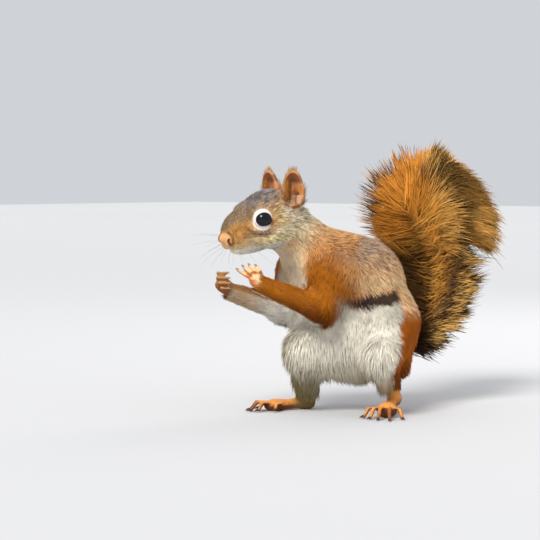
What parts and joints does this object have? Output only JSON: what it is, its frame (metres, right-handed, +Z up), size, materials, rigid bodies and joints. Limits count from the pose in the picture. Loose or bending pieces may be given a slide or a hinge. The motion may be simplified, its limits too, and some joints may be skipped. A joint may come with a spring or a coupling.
{
  "type": "red squirrel figure",
  "caption": "Life-size red squirrel standing on its hind feet, hands held together below the mouth and bushy tail raised behind its back.",
  "frame": {"origin": "middle of the bounding box's footprint, on the floor that the feet stand on", "axes": "+Z up; the trunk faces -Y, the animal's left side is towards +X, and the tail is at +Y; the head is turned a little to the animal's right"},
  "size_m": [0.1016, 0.1896, 0.1579],
  "materials": {
    "back_coat": "short soft fur, grizzled brown",
    "belly_coat": "short soft fur, white",
    "limb_coat": "short soft fur, rusty orange",
    "paws": "bare skin and very short hair, orange, with dark claws",
    "ears": "thin, short-haired, reddish brown",
    "nose": "bare skin, tan",
    "eyes": "wet, glossy, black",
    "tail_hair": "long loose hair, rusty with dark bands and pale tips"
  },
  "bodies": {
    "root": {"head": "back_coat", "neck": "back_coat", "chest": "back_coat", "abdomen": "belly_coat", "lower_jaw": "belly_coat", "upper_arm_left": "limb_coat", "upper_arm_right": "limb_coat", "forearm_left": "limb_coat", "forearm_right": "limb_coat", "thigh_left": "limb_coat", "thigh_right": "limb_coat", "shank_left": "limb_coat", "shank_right": "limb_coat", "hand_left": "paws", "hand_right": "paws", "foot_left": "paws", "foot_right": "paws", "ear_left": "ears", "ear_right": "ears", "nose": "nose", "eye_left": "eyes", "eye_right": "eyes", "tail_base": "tail_hair", "tail_middle": "tail_hair", "tail_tip": "tail_hair"}
  },
  "joints": []
}
